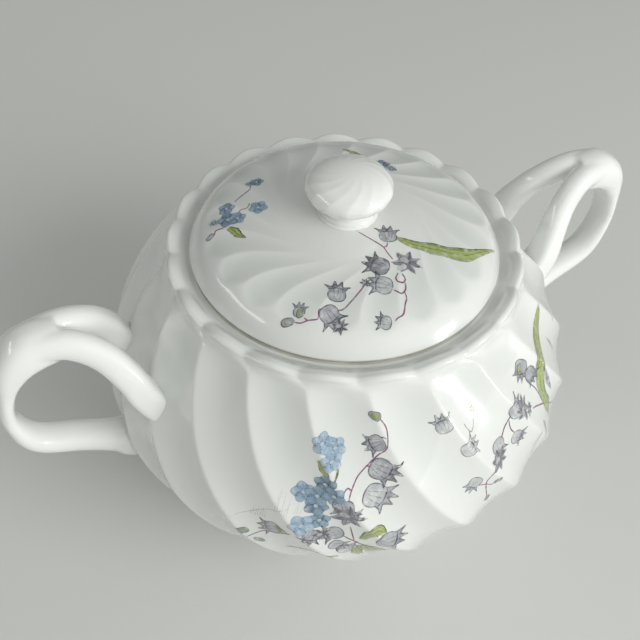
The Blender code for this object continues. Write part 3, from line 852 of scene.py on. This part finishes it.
def paint_lid(blue, grey, green, brown):
    stem(brown, [(2.0, -6.9), (4.2, -8.4), (6.7, -10.1), (8.5, -11.5), (9.5, -13.2), (10.7, -14.9)], 0)
    stem(brown, [(8.6, -11.6), (9.3, -11.1), (9.5, -10.0)], 0)
    leaf(green, [(11.3, -8.0), (15.2, -9.5), (19.5, -9.9), (23.9, -10.2), (28.3, -9.6), (31.5, -7.7),
                 (36.0, -3.9)], [0.6, 2.8, 3.9, 4.0, 3.4, 2.2, 0.3], 1)
    bell(grey, (9.6, -7.6), 3.5, 186.0, 1)
    bell(grey, (7.4, -17.1), 4.1, 250.0, 2, -0.14)
    bell(grey, (8.3, -22.3), 3.9, 262.0, 3, 0.16)
    star_bell(grey, (13.9, -15.4), 4.1, -20.0, 3)
    blob(grey, (12.8, -17.0), 1.2, 40.0, lambda t: 0.8 + 0.25 * np.cos(2 * t), lambda share, t: 0.02, 5, 0.8)
    stem(brown, [(11.9, -18.7), (11.4, -20.1), (11.9, -21.1), (13.1, -21.1), (13.5, -20.0),
                 (12.8, -18.8)], 4, 0.34, 0.9)
    stem(brown, [(13.5, -21.0), (13.6, -22.7), (12.9, -24.0), (12.3, -24.1), (10.9, -23.4)], 4, 0.34, 0.9)
    stem(brown, [(13.4, -23.5), (13.8, -25.0), (13.5, -26.6), (13.1, -29.1), (12.0, -30.0),
                 (11.3, -30.8)], 4, 0.30, 0.8)
    bell(grey, (9.0, -31.2), 2.5, 262.0, 1, 0.10)
    stem(brown, [(5.4, -22.0), (4.4, -23.0), (2.8, -25.5), (1.0, -28.0), (-0.1, -29.2),
                 (-1.4, -29.6)], 0, 0.36, 0.55)
    star_bell(grey, (4.6, -22.2), 1.5, 30.0, 4)
    bell(grey, (-1.6, -25.4), 3.4, 178.0, 2, 0.02)
    bell(grey, (-2.9, -30.8), 3.7, 38.0, 2, 0.06)
    star_bell(grey, (-0.6, -33.0), 2.2, 12.0, 4)
    stem(brown, [(-4.6, -29.5), (-5.4, -29.9), (-5.5, -31.7), (-7.6, -32.0), (-9.2, -32.4),
                 (-10.6, -32.1)], 1)
    stem(brown, [(-7.6, -32.0), (-8.5, -31.4)], 1)
    bell(grey, (-9.6, -29.7), 2.2, 170.0, 2, 0.04)
    bud(grey, green, (-9.5, -30.2), 2.2, 80.0, 5, 0.9)
    bud(grey, green, (-12.0, -32.0), 2.9, 8.0, 2, 0.3)

    stem(brown, [(-24.1, 10.2), (-24.0, 8.2), (-26.1, 5.8), (-27.3, 3.9)], 0, 0.30, 0.6)
    stem(brown, [(-23.5, 2.9), (-24.0, 1.1), (-25.5, 0.3), (-25.9, -0.6)], 0, 0.30, 0.6)
    stem(brown, [(-28.2, -4.9), (-29.3, -5.4), (-30.7, -5.9), (-30.9, -7.1)], 0, 0.34, 0.7)
    leaf(green, [(-27.8, -5.6), (-26.2, -6.7), (-25.0, -8.1), (-23.2, -9.2)], [1.2, 2.6, 1.5, 0.4], 1)
    forget_me_not(blue, (-29.0, 1.6), 3.9, 10.0, 1, 0.10)
    forget_me_not(blue, (-28.2, -2.4), 5.0, 40.0, 3, 0.16)
    forget_me_not(blue, (-25.9, -2.3), 3.8, 22.0, 5, 0.08)
    forget_me_not(blue, (-21.3, 1.0), 4.4, 60.0, 2, 0.02)
    forget_me_not(blue, (-22.6, 11.4), 3.4, 5.0, 2, 0.14, 0.75)
    forget_me_not(blue, (-24.4, 10.6), 2.2, 30.0, 1, 0.20, 0.6)
    forget_me_not(blue, (-31.6, -2.6), 2.4, 25.0, 1, -0.06, 0.5)
    bud(grey, green, (-31.9, -7.4), 2.2, 50.0, 1, 0.0)
    leaf(green, [(-1.6, 27.0), (0.9, 25.6), (3.6, 24.2)], [0.3, 1.8, 0.3], 1)
    forget_me_not(blue, (8.4, 20.6), 4.2, 12.0, 1, 0.22, 0.8)
    forget_me_not(blue, (11.0, 18.9), 2.6, 50.0, 1, 0.10, 0.6)
    stem(brown, [(3.6, 24.0), (6.0, 22.4), (7.4, 21.4)], 0, 0.3, 0.7)


def paint_bowl(blue, grey, green, brown):
    def at(angle, z):
        return on_bowl((angle, z))[0]

    def line(level, *places, width=0.30, tone=0.75, strength=0.95):
        stem(brown, on_bowl(*places), level, width, tone, strength)

    def blade(level, widths, *places, strength=0.95):
        leaf(green, on_bowl(*places), widths, level, strength)

    line(0, (-108.2, 76.8), (-106.6, 74.9), (-106.3, 72.9), (-106.8, 70.6), (-108.6, 69.1), (-111.3, 66.5),
         (-113.3, 64.6), (-114.2, 63.0), (-114.9, 61.3), (-115.4, 59.3), width=0.34)
    line(0, (-106.6, 72.9), (-107.6, 73.2), (-108.6, 72.7))
    line(0, (-111.3, 66.5), (-110.4, 66.3))
    line(0, (-116.4, 59.4), (-116.5, 61.5), (-115.6, 62.4), (-114.9, 61.8), width=0.34, tone=0.85)
    bud(grey, green, at(-109.3, 77.2), 3.3, -20.0, 2, 0.9)
    bell(grey, at(-109.3, 71.6), 3.6, -62.0, 1, 0.04)
    bell(grey, at(-107.6, 65.6), 5.0, 62.0, 2, 0.02)
    bell(grey, at(-108.8, 59.4), 5.2, 66.0, 1, 0.22)
    bell(grey, at(-116.3, 57.4), 4.0, 15.0, 2, 0.06)
    star_bell(grey, at(-115.2, 54.8), 4.6, -10.0, 4)
    blade(1, [0.4, 1.9, 1.4], (-122.9, 68.4), (-121.7, 67.0), (-120.3, 64.9))
    ribbon(green, on_bowl((-118.4, 67.2), (-118.1, 66.0), (-118.9, 63.6)), [0.5, 0.7, 0.4], 0.7, 1, 0.85)
    forget_me_not(blue, at(-122.2, 71.8), 4.9, 12.0, 2, -0.10)
    forget_me_not(blue, at(-119.0, 70.7), 4.9, 50.0, 4, -0.06)
    forget_me_not(blue, at(-119.6, 68.3), 4.8, 30.0, 5, -0.12, 0.9)
    forget_me_not(blue, at(-120.7, 63.0), 5.0, 20.0, 1, 0.22)
    forget_me_not(blue, at(-118.6, 60.3), 5.2, 48.0, 2, 0.10)
    forget_me_not(blue, at(-122.4, 56.5), 5.4, 0.0, 3, 0.20)
    forget_me_not(blue, at(-125.4, 59.8), 5.4, 35.0, 4, 0.02)
    forget_me_not(blue, at(-122.3, 59.3), 5.6, 15.0, 6, 0.10)
    forget_me_not(blue, at(-121.4, 52.4), 4.8, 24.0, 1, 0.12)
    forget_me_not(blue, at(-125.3, 51.0), 5.6, 50.0, 3, -0.08)
    bell(grey, at(-118.2, 48.2), 3.8, -75.0, 2, 0.04)
    bell(grey, at(-123.0, 47.6), 3.2, -20.0, 1, 0.02)
    star_bell(grey, at(-120.6, 48.0), 2.3, 30.0, 4)
    line(1, (-116.3, 47.7), (-114.8, 46.3), (-112.1, 44.0), (-108.8, 41.0), width=0.4)
    line(1, (-114.5, 51.3), (-113.9, 48.2), (-113.3, 45.2))
    blade(2, [1.0, 3.2, 3.0, 0.8], (-111.8, 46.0), (-110.4, 49.2), (-108.2, 50.2), (-106.6, 48.2))
    blade(3, [1.4, 4.4, 4.0, 1.0], (-112.0, 42.8), (-109.8, 40.8), (-107.2, 37.0), (-105.6, 34.0))
    blade(2, [0.8, 2.8, 0.8], (-113.0, 42.0), (-112.4, 39.0), (-111.0, 35.5))
    bell(grey, at(-105.6, 45.8), 4.6, 78.0, 4, 0.08)
    bell(grey, at(-114.6, 41.4), 3.8, 100.0, 1, 0.20)
    bell(grey, at(-117.0, 43.6), 3.0, 60.0, 1, 0.10)
    line(0, (-140.0, 38.5), (-136.8, 41.8), (-133.5, 44.7), (-130.8, 44.8), (-127.2, 47.0), width=0.3,
         tone=0.5)
    bud(grey, green, at(-138.5, 43.5), 3.4, 30.0, 1, 0.7)
    bud(grey, green, at(-134.6, 40.4), 2.6, -30.0, 1, 0.6)
    bell(grey, at(-132.0, 47.0), 3.6, -70.0, 1, 0.12)
    blade(2, [0.5, 2.0, 0.4], (-131.2, 48.6), (-129.4, 46.8), (-127.8, 46.2), strength=0.7)
    blade(1, [0.4, 1.8, 2.0, 0.3], (-129.0, 37.6), (-124.6, 38.0), (-120.6, 38.6), (-116.4, 38.0))
    ribbon(brown, on_bowl((-142.0, 46.9), (-139.5, 49.0), (-136.7, 50.7), (-132.1, 54.0), (-128.2, 55.6)),
           [0.1, 0.22, 0.3, 0.2], 0.2, 0, 0.35)
    grass(brown, at(-137.0, 49.6), (2.0, 3.0, 2.4, 3.6, 3.0, 4.2, 3.4), 0.3, 0)
    grass(brown, at(-131.4, 53.6), (5.5, 7.0, 4.0, 6.2, 3.2, 5.4), 0.8, 1, 0.28)
    grass(brown, at(-127.0, 54.0), (2.4, 4.4, 1.8), 0.5, 0, 0.25)

    blade(1, [0.3, 2.2, 4.2, 4.6, 3.8, 3.4, 3.0, 3.6, 1.2], (-40.0, 76.0), (-42.3, 74.0), (-46.0, 72.4),
          (-50.2, 70.6), (-53.6, 68.4), (-55.2, 64.6), (-55.0, 60.0), (-53.4, 55.0), (-52.3, 50.4))
    blade(3, [0.4, 1.4, 1.8, 0.4], (-46.6, 73.2), (-50.0, 72.4), (-53.6, 70.6), (-56.2, 67.6))
    bell(grey, at(-61.2, 71.6), 4.0, -38.0, 2, 0.02)
    bell(grey, at(-58.4, 68.4), 3.6, 30.0, 4, -0.06)
    bud(grey, green, at(-61.8, 71.8), 3.0, 60.0, 6, 0.9)
    line(0, (-60.4, 69.6), (-60.4, 67.7), (-58.0, 64.1), (-56.1, 58.6), width=0.36, tone=0.6)
    line(0, (-47.8, 49.6), (-54.6, 56.5), (-59.6, 60.2), (-62.0, 61.6), width=0.42, tone=0.8)
    bell(grey, at(-69.0, 66.6), 3.9, 108.0, 2, 0.14)
    star_bell(grey, at(-66.4, 65.2), 3.6, 60.0, 4)
    star_bell(grey, at(-63.8, 63.0), 2.0, 20.0, 2)
    line(0, (-70.7, 66.4), (-71.8, 65.3), (-73.4, 63.8), (-74.6, 62.1), (-75.7, 60.9), width=0.4, tone=0.85)
    line(0, (-71.8, 64.9), (-71.6, 62.5), (-70.6, 60.8), width=0.34)
    bell(grey, at(-69.6, 58.8), 3.3, 60.0, 2, 0.16)
    bell(grey, at(-76.4, 60.4), 3.6, 8.0, 2, 0.14)
    star_bell(grey, at(-77.0, 57.6), 3.6, 5.0, 4)
    line(0, (-78.6, 57.6), (-80.4, 55.1), (-81.3, 52.6), (-80.3, 46.9))
    line(0, (-81.3, 52.6), (-83.6, 53.4))
    line(0, (-81.3, 52.6), (-79.7, 51.6), (-78.4, 52.3))
    bell(grey, at(-84.6, 54.6), 3.2, -40.0, 2, 0.20)
    bud(grey, green, at(-78.2, 52.4), 2.2, 30.0, 1, 0.4)
    bud(grey, green, at(-80.0, 46.0), 2.2, 80.0, 1, 1.0)
    bell(grey, at(-91.4, 72.4), 3.6, 200.0, 1, 0.24, 0.8)
    bell(grey, at(-85.6, 65.6), 3.5, 110.0, 1, 0.28, 0.75)
    bud(grey, green, at(-81.8, 71.8), 2.4, 75.0, 1, 1.0)
    line(0, (-82.0, 70.8), (-82.8, 69.1), (-84.0, 68.4), (-85.1, 69.7), (-85.6, 70.8), width=0.26, tone=0.5,
         strength=0.6)
    ribbon(blue, on_bowl((-60.6, 54.4), (-62.1, 50.1), (-62.6, 46.4)), [0.6, 1.8, 0.5], 0.2, 1, 0.55)
    ribbon(blue, on_bowl((-58.2, 54.6), (-57.7, 52.1), (-58.6, 49.6)), [0.4, 1.5, 0.4], 0.7, 2, 0.7)
    ribbon(grey, on_bowl((-52.6, 66.4), (-52.2, 62.2), (-50.6, 57.6)), [0.4, 2.0, 0.5], 0.5, 1, 0.75)
    ribbon(grey, on_bowl((-43.0, 67.6), (-41.5, 64.1), (-41.0, 60.2)), [0.3, 1.5, 0.4], 0.45, 1, 0.55)
    ribbon(grey, on_bowl((-36.0, 74.0), (-35.6, 70.6), (-36.4, 66.8)), [0.3, 1.6, 0.4], 0.35, 1, 0.4)


def pigment(name, shades):
    """Over-glaze paint under its own gloss, thinning out to nothing at a stroke's edges."""
    material, tree, shader = new_shader(name)
    wash = noise(tree, WASH_SCALE, 3.0)
    lighter = maths(tree, "SUBTRACT", attribute(tree, "tone"), 0.42)
    uneven = maths(tree, "MULTIPLY_ADD", wash, 0.8, lighter)
    cover = map_range(tree, wash, (0.3, 0.62), (0.45, 1.1))
    set_inputs(tree, shader, {
        "Base Color": colour_ramp(tree, uneven, shades),
        "Alpha": maths(tree, "MULTIPLY", cover, attribute(tree, "ink"), clamp=True),
        "Roughness": 0.2, "Coat Weight": 1.0, "Coat Roughness": 0.04,
    })
    return material


PIGMENTS = {
    "decal_blue": [(0.0, (0.72, 0.79, 0.83)), (0.3, (0.42, 0.57, 0.72)), (0.6, (0.22, 0.33, 0.44)),
                   (1.0, (0.015, 0.022, 0.06))],
    "decal_grey": [(0.0, (0.80, 0.82, 0.81)), (0.3, (0.48, 0.50, 0.545)), (0.6, (0.25, 0.255, 0.29)),
                   (1.0, (0.045, 0.042, 0.058))],
    "decal_green": [(0.0, (0.70, 0.76, 0.52)), (0.3, (0.42, 0.51, 0.14)), (0.6, (0.20, 0.26, 0.045)),
                    (1.0, (0.02, 0.035, 0.01))],
    "decal_stem": [(0.0, (0.66, 0.70, 0.72)), (0.3, (0.36, 0.38, 0.42)), (0.7, (0.32, 0.09, 0.22)),
                   (1.0, (0.13, 0.03, 0.09))],
}


def add_paint(body, chart, artwork, pigments):
    """The painting on one body, as a piece for each pigment."""
    paints = [Paint(chart) for slot in pigments]
    artwork(*paints)
    for paint, (slot, material) in zip(paints, pigments.items()):
        name = f"{body}_{slot}"
        add_piece(name, paint.mesh(name), body, slot, material)


# ---------------------------------------------------------------- materials

HOLLOW_SHADE_TINT = (0.88, 0.90, 0.892)       # of the white: painted shade where a flute is hollow
GLAZE_INDEX = 1.5
CLOUD_SCALE = 45.0                      # of the noise; the larger, the finer
WAVE_SCALE = 160.0
STAIN_SCALE = 260.0
GRAIN_SCALE = 1600.0


def porcelain(name, colour, pooled):
    """Clear glaze over white porcelain, faintly clouded and wavy, and darkened by painted shade in the flute
    hollows.
    """
    material, tree, shader = new_shader(name)
    cloud = noise(tree, CLOUD_SCALE, 3.0)
    clouded = mix(tree, cloud, (*colour, 1.0), (*pooled, 1.0))
    # The base colour is darkened by painted shade where a flute is hollow.
    set_inputs(tree, shader, {
        "Base Color": mix(tree, attribute(tree, "painted_shade"), clouded, (*HOLLOW_SHADE_TINT, 1.0), "MULTIPLY"),
        "Roughness": map_range(tree, cloud, (0.0, 1.0), (0.16, 0.26)),
        "Normal": bump(tree, noise(tree, WAVE_SCALE, 1.0), 0.12, 0.1 * MM),
        "IOR": GLAZE_INDEX, "Coat Weight": 1.0, "Coat Roughness": 0.03, "Coat IOR": GLAZE_INDEX,
    })
    return material


def bisque(name):
    """Bare fired clay, matt and a little stained."""
    material, tree, shader = new_shader(name)
    stains = [(0.3, (0.50, 0.48, 0.42)), (0.7, (0.66, 0.64, 0.58))]
    set_inputs(tree, shader, {
        "Base Color": colour_ramp(tree, noise(tree, STAIN_SCALE, 6.0), stains),
        "Normal": bump(tree, noise(tree, GRAIN_SCALE, 2.0), 0.4, 0.06 * MM),
        "Roughness": 0.75,
    })
    return material


def band_mesh(name, outline, per_span=4):
    """A skin of revolution along an outline of radii and heights, open at both ends."""
    rings = []
    for r, z in catmull(outline, per_span):
        rings.append(ring(r, z, 0.0))
    return ring_mesh(name, rings, closed=False)


def foot_band():
    """The wiped face the bowl stands on."""
    inner = FOOT_RADIUS - FOOT_WIDTH
    return band_mesh("foot_band", [
        (inner + 0.1 * MM, 1.3 * MM), (inner + 0.36 * MM, 0.62 * MM), (inner + 1.3 * MM, 0.14 * MM),
        (FOOT_RADIUS - 1.3 * MM, 0.14 * MM), (FOOT_RADIUS - 0.3 * MM, 0.55 * MM),
        (FOOT_RADIUS - 0.04 * MM, 0.9 * MM)])


def seat_band():
    """The wiped ledge under the lid's edge."""
    lift = 0.06 * MM
    return band_mesh("seat_band", [
        (LEDGE_INNER + 0.1 * MM, LEDGE_HEIGHT - 0.2 * MM), (LEDGE_INNER + 0.7 * MM, LEDGE_HEIGHT + lift),
        (LEDGE_OUTER - 1.2 * MM, LEDGE_HEIGHT + lift), (LEDGE_OUTER - 0.9 * MM, LEDGE_HEIGHT + 0.02 * MM)])


def lid_band():
    """The bare underside of the lid's edge, where it rests."""
    bottom = LID_TOP - LID_EDGE
    return band_mesh("lid_band", [
        (FLANGE_RADIUS + 0.3 * MM, bottom - 0.05 * MM), (LID_RADIUS - 1.6 * MM, bottom - 0.05 * MM),
        (LID_RADIUS - 1.2 * MM, bottom + 0.05 * MM)])


# ---------------------------------------------------------------- build

glaze = porcelain("porcelain_glaze", (0.84, 0.85, 0.83), (0.79, 0.81, 0.785))
# Painted light: a lighter copy of the same glaze, for the knob and the handles.
lighter_lit_glaze = porcelain("porcelain_lighter_lit_glaze", (0.91, 0.915, 0.895), (0.88, 0.89, 0.87))
add_piece("bowl_porcelain", bowl_mesh(), "bowl", "porcelain", glaze, ["bowl_body"])
add_piece("lid_porcelain", lid_mesh(), "lid", "porcelain", glaze, ["lid"])
add_piece("knob_porcelain", knob_mesh(), "lid", "porcelain", lighter_lit_glaze, ["lid_knob"])
bare_clay = bisque("bare_clay")
add_piece("bowl_foot_band", foot_band(), "bowl", "bisque", bare_clay)
add_piece("bowl_seat_band", seat_band(), "bowl", "bisque", bare_clay)
add_piece("lid_edge_band", lid_band(), "lid", "bisque", bare_clay)
for side, turn in (("right", 0.0), ("left", math.pi)):
    add_piece(f"handle_{side}_porcelain", handle_mesh(f"handle_{side}_fine", turn), "bowl",
              "porcelain", lighter_lit_glaze, [f"handle_{side}"])

pigments = {slot: pigment(slot, shades) for slot, shades in PIGMENTS.items()}
add_paint("lid", lid_chart, paint_lid, pigments)
add_paint("bowl", bowl_chart, paint_bowl, pigments)


# ---------------------------------------------------------------- stage

WINDOW_AZIMUTH = -50.0
WINDOW_ELEVATION = 4.5
PANE_STEP = 3.4                 # degrees from the middle of the window to the middle of a pane
PANE_SIZE = (0.105, 0.105)
PANE_POWER = 0.42
SKY_AZIMUTH = -67.0
SKY_POWER = 6.7                 # the wide soft light about the window
FILL_POWER = 0.5                # from high up on the other side
STRIP_POWER = 1.1               # a long low window on the left
DAYLIGHT = (1.0, 1.0, 0.985)
PANE_LIGHT = (1.0, 0.995, 0.98)
LIGHT_AIM = (0.0, 0.0, 0.06)
WORLD_DIM = 0.13
WORLD_BRIGHT = 0.50
WORLD_TILT = 0.35               # upward share of the direction in which the world is bright
WORLD_COLOUR = (0.97, 1.0, 0.965, 1.0)
FLOOR_HALF = 3.0
FLOOR_DROP = 0.2 * MM           # below the foot, so that the faces don't fight
CAMERA_PLACE = (-81.6 * MM, -137.9 * MM, 230.9 * MM)
CAMERA_TURN = math.radians(-28.82)
CAMERA_TILT = math.radians(42.294)
CAMERA_ROLL = math.radians(3.177)
CAMERA_LENS = 49.53             # mm, on a sensor 36 mm wide


def add_floor():
    mesh = bpy.data.meshes.new("floor")
    corners = [(-1, -1), (1, -1), (1, 1), (-1, 1)]
    mesh.from_pydata([(x * FLOOR_HALF, y * FLOOR_HALF, 0.0) for x, y in corners], [], [(0, 1, 2, 3)])
    floor = bpy.data.objects.new("floor", mesh)
    bpy.context.scene.collection.objects.link(floor)
    floor.location.z = -FLOOR_DROP
    material, tree, shader = new_shader("pale_floor")
    set_inputs(tree, shader, {"Base Color": (0.73, 0.73, 0.715, 1.0), "Roughness": 0.8})
    floor.data.materials.append(material)


def add_light(name, azimuth, elevation, distance, size, power, colour):
    """A rectangular light aimed at the bowl; azimuth is counted from +X, seen from above."""
    light = bpy.data.lights.new(name, "AREA")
    light.shape = "RECTANGLE"
    light.size, light.size_y = size
    light.energy = power
    light.color = colour
    item = bpy.data.objects.new(name, light)
    bpy.context.scene.collection.objects.link(item)
    a, e = math.radians(azimuth), math.radians(elevation)
    aim = Vector(LIGHT_AIM)
    away = Vector((math.cos(a) * math.cos(e), math.sin(a) * math.cos(e), math.sin(e)))
    item.location = aim + distance * away
    item.rotation_euler = (aim - item.location).to_track_quat("-Z", "Y").to_euler()
    return item


def add_world():
    """Pale grey surroundings, brighter towards the window than behind the bowl."""
    world = bpy.data.worlds.new("studio")
    bpy.context.scene.world = world
    world.use_nodes = True
    tree = world.node_tree
    azimuth = math.radians(SKY_AZIMUTH)
    brightest = (math.cos(azimuth), math.sin(azimuth), WORLD_TILT)
    place = add_node(tree, "ShaderNodeTexCoord", "Generated", {})
    towards = add_node(tree, "ShaderNodeVectorMath", "Value", {0: place, 1: brightest},
                       operation="DOT_PRODUCT")
    strength = map_range(tree, towards, (-1.0, 1.0), (WORLD_DIM, WORLD_BRIGHT))
    set_inputs(tree, tree.nodes["Background"], {"Color": WORLD_COLOUR, "Strength": strength})


def add_stage():
    add_floor()
    for across in (-1, 1):
        for up in (-1, 1):
            add_light(f"pane_{2 + across}_{2 + up}", azimuth=WINDOW_AZIMUTH + across * PANE_STEP,
                      elevation=WINDOW_ELEVATION + up * PANE_STEP, distance=1.0, size=PANE_SIZE,
                      power=PANE_POWER, colour=PANE_LIGHT)
    sky = add_light("sky", azimuth=SKY_AZIMUTH, elevation=30.0, distance=1.1, size=(0.75, 0.55),
                    power=SKY_POWER, colour=DAYLIGHT)
    sky.visible_glossy = False
    add_light("strip", azimuth=165.0, elevation=30.0, distance=1.2, size=(0.9, 0.12),
              power=STRIP_POWER, colour=DAYLIGHT)
    add_light("fill", azimuth=145.0, elevation=62.0, distance=1.2, size=(0.7, 0.7),
              power=FILL_POWER, colour=DAYLIGHT)
    add_world()


def add_camera():
    data = bpy.data.cameras.new("camera")
    data.sensor_width = 36.0
    data.lens = CAMERA_LENS
    data.clip_start = 0.01
    camera = bpy.data.objects.new("camera", data)
    bpy.context.scene.collection.objects.link(camera)
    camera.location = CAMERA_PLACE
    turn = Matrix.Rotation(CAMERA_TURN, 3, "Z")
    tilt = Matrix.Rotation(CAMERA_TILT, 3, "X")
    roll = Matrix.Rotation(CAMERA_ROLL, 3, "Z")
    camera.rotation_euler = (turn @ tilt @ roll).to_euler()
    bpy.context.scene.camera = camera


add_stage()
add_camera()
bpy.context.scene.view_settings.view_transform = "Standard"
